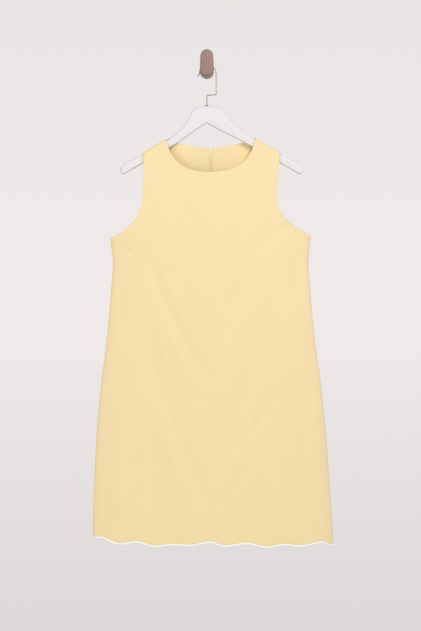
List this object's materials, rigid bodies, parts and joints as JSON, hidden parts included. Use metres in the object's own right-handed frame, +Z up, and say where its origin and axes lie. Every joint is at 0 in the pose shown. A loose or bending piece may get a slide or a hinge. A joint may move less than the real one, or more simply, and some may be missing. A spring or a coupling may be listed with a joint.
{
  "type": "a-line mini dress on a hanger and wall hook",
  "caption": "Sleeveless A-line mini dress with a piped scalloped hem and centre back zip, on a wooden hanger with a wire hook over a wooden wall peg.",
  "frame": {"origin": "middle of the wall peg's flat back face, on the wall", "axes": "+Z up, +Y into the wall, +X to the viewer's right; the dress's front faces -Y"},
  "size_m": [0.5324, 0.0668, 1.0969],
  "materials": {
    "cloth": "matt butter-yellow crepe with a fine dry grain",
    "piping": "white piping, softly corded",
    "zip_tape": "yellow woven zip tape with a fine coil",
    "zip_metal": "yellow enamel on metal, smooth",
    "wire": "polished gold wire",
    "hanger_paint": "white lacquer on wood, satin",
    "peg_wood": "brown stained wood with upright grain"
  },
  "bodies": {
    "root": {"front": "cloth", "back_left": "cloth", "back_right": "cloth", "facing_left": "cloth", "facing_right": "cloth", "piping_front": "piping", "piping_back_left": "piping", "piping_back_right": "piping", "zip_tape": "zip_tape", "zip_slider": "zip_metal", "hanger": "hanger_paint", "hook_wire": "wire", "hook_ferrule": "wire", "wall_peg": "peg_wood"},
    "zip_pull": {"zip_pull": "zip_metal"}
  },
  "joints": [
    {"name": "zip_pull_swing", "type": "hinge", "parent": "root", "child": "zip_pull", "pos_m": [0.0088, -0.01191, -0.1905], "axis": [1, 0, 0], "range_deg": [0, 170]}
  ]
}
